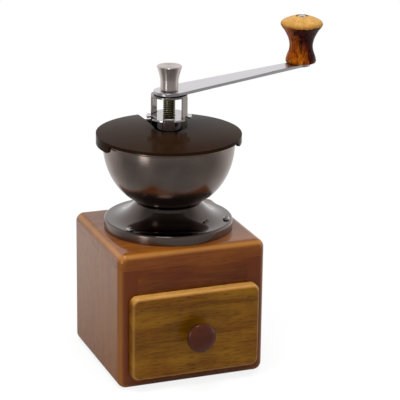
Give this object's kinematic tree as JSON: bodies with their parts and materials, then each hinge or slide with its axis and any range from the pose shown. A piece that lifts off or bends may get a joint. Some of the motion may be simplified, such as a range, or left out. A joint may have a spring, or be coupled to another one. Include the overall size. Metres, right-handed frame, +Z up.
{
  "type": "manual coffee grinder",
  "caption": "Hand-cranked burr coffee mill: wooden box with a drawer, flared pedestal, round metal hopper with a slotted lid, and a flat crank arm with a turned wooden grip.",
  "frame": {"origin": "middle of the box's flat underside, straight below the crank's shaft", "axes": "+Z up along the shaft; the drawer faces -Y and opens that way; +X to the right as the drawer is faced"},
  "size_m": [0.1724, 0.122, 0.2126],
  "materials": {
    "box_wood": "red-brown stained and varnished softwood",
    "drawer_front_wood": "olive-gold varnished wood with horizontal grain",
    "drawer_wood": "plain sanded light wood",
    "knob_wood": "dark red-brown lacquer",
    "grip_wood": "amber varnish over dark flame grain",
    "black_gloss": "near-black glossy plating",
    "gunmetal": "dark gunmetal plating, soft gloss",
    "steel": "satin brushed stainless steel",
    "bush_brass": "plain turned brass bush",
    "ceramic": "off-white fired ceramic, semi-matte",
    "brown_plastic": "very dark brown glossy moulded plastic"
  },
  "bodies": {
    "root": {"top_board": "box_wood", "left_side_board": "box_wood", "right_side_board": "box_wood", "back_panel": "box_wood", "bottom_board": "box_wood", "front_rail": "box_wood", "pedestal": "black_gloss", "flange_screw_1": "steel", "flange_screw_2": "steel", "flange_screw_3": "steel", "hopper_bowl": "gunmetal", "hopper_bridge": "steel", "upper_bush": "bush_brass", "burr_spider": "steel", "lower_bush": "bush_brass", "outer_burr": "ceramic", "burr_ring": "steel", "burr_ring_screw_1": "steel", "burr_ring_screw_2": "steel", "burr_ring_screw_3": "steel"},
    "crank": {"crank_shaft": "steel", "inner_burr": "ceramic", "burr_washer": "steel", "burr_nut": "steel", "adjusting_nut": "steel", "stopper": "steel", "crank_arm": "steel", "fixing_knob": "steel", "grip_bolt": "steel"},
    "grip": {"wooden_grip": "grip_wood"},
    "drawer": {"drawer_front": "drawer_front_wood", "drawer_left_side": "drawer_wood", "drawer_right_side": "drawer_wood", "drawer_back": "drawer_wood", "drawer_bottom": "drawer_wood", "drawer_knob": "knob_wood", "drawer_knob_screw": "steel"},
    "lid": {"hopper_lid": "brown_plastic"}
  },
  "joints": [
    {"name": "crank_turn", "type": "hinge", "parent": "root", "child": "crank", "pos_m": [0, 0, 0.14], "axis": [0, 0, 1], "continuous": true},
    {"name": "grip_spin", "type": "hinge", "parent": "crank", "child": "grip", "pos_m": [0.10919, 0.04148, 0.195], "axis": [0, 0, 1], "continuous": true},
    {"name": "drawer_slide", "type": "slide", "parent": "root", "child": "drawer", "axis": [0, -1, 0], "range_m": [0, 0.07]},
    {"name": "lid_slide", "type": "slide", "parent": "root", "child": "lid", "axis": [-0.0872, -0.9962, 0], "range_m": [0, 0.055]}
  ]
}
